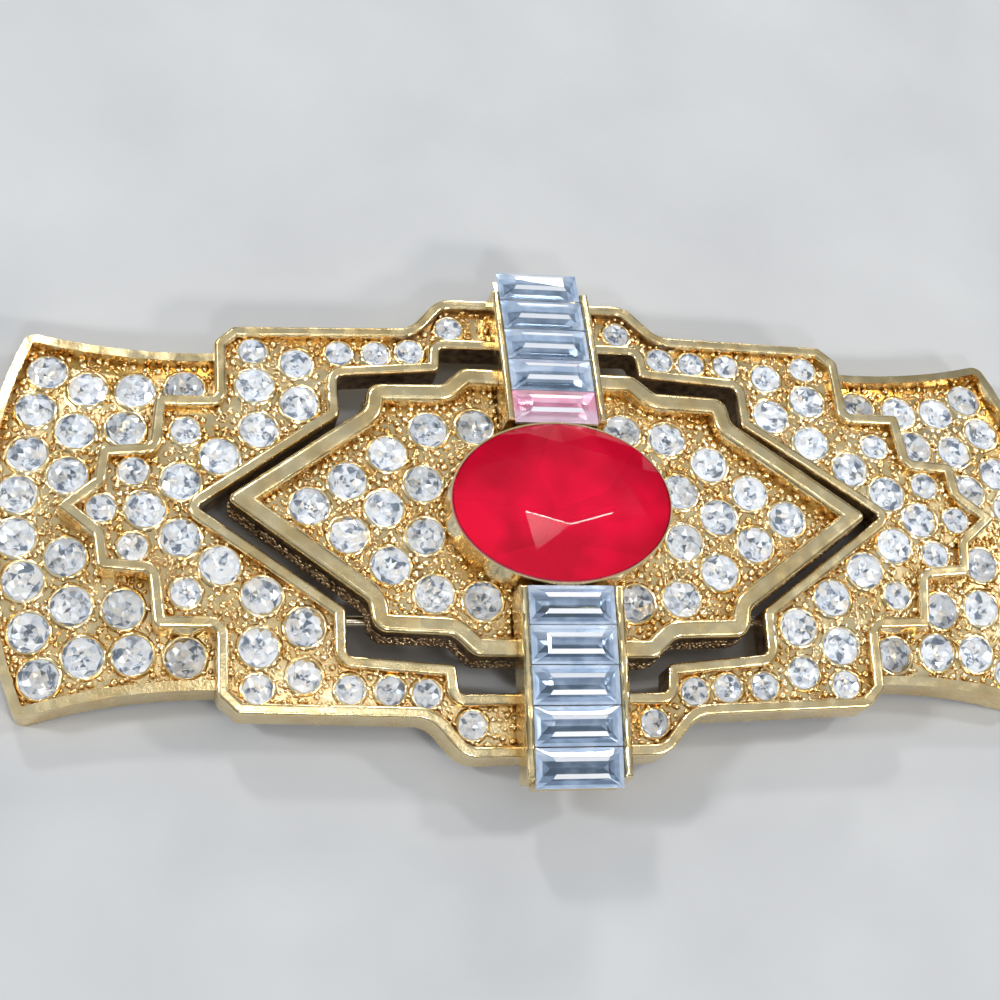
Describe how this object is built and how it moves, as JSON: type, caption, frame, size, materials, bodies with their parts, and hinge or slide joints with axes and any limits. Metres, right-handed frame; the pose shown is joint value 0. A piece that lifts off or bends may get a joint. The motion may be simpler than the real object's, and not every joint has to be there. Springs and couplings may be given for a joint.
{
  "type": "brooch",
  "caption": "Art Deco style gold-plated brooch: stepped frame with wings, raised lozenge panel, baguette band, red oval stone, pave crystals and a hinged pin with safety catch.",
  "frame": {"origin": "middle of the bounding box on the plane that the brooch lies on, back down", "axes": "+X along the brooch, +Y across it towards its upper edge, +Z out of its front"},
  "size_m": [0.082, 0.0408, 0.0097],
  "materials": {
    "gold_plate": "polished gold plate over cast metal",
    "findings_gold": "satin gold plate",
    "pin_wire": "drawn wire, gold plated",
    "crystal": "foiled brilliant-cut glass",
    "baguette_crystal": "foiled step-cut glass",
    "red_glass": "polished faceted red glass"
  },
  "bodies": {
    "brooch": {"baguette_lower_1": "baguette_crystal", "baguette_lower_2": "baguette_crystal", "baguette_lower_3": "baguette_crystal", "baguette_lower_4": "baguette_crystal", "baguette_lower_5": "baguette_crystal", "baguette_upper_1": "baguette_crystal", "baguette_upper_2": "baguette_crystal", "baguette_upper_3": "baguette_crystal", "baguette_upper_4": "baguette_crystal", "baguette_upper_5": "baguette_crystal", "band_channel_lower": "gold_plate", "band_channel_upper": "gold_plate", "catch_housing": "findings_gold", "center_panel": "gold_plate", "joint_rivet": "findings_gold", "outer_frame": "gold_plate", "oval_bezel": "gold_plate", "oval_stone": "red_glass", "pin_joint": "findings_gold", "stones_block_left": "crystal", "stones_block_right": "crystal", "stones_panel_left": "crystal", "stones_panel_right": "crystal", "stones_small_left": "crystal", "stones_small_right": "crystal", "stones_wing_left": "crystal", "stones_wing_right": "crystal"},
    "pin": {"pin_stem": "pin_wire"},
    "sleeve": {"catch_sleeve": "findings_gold"}
  },
  "joints": [
    {"name": "pin_hinge", "type": "hinge", "parent": "brooch", "child": "pin", "pos_m": [-0.0217, -0.00684, 0.0013], "axis": [0, 1, 0], "range_deg": [0, 95]},
    {"name": "catch_roll", "type": "hinge", "parent": "brooch", "child": "sleeve", "pos_m": [0.0217, -0.00684, 0.0013], "axis": [1, 0, 0], "range_deg": [0, 150]}
  ]
}
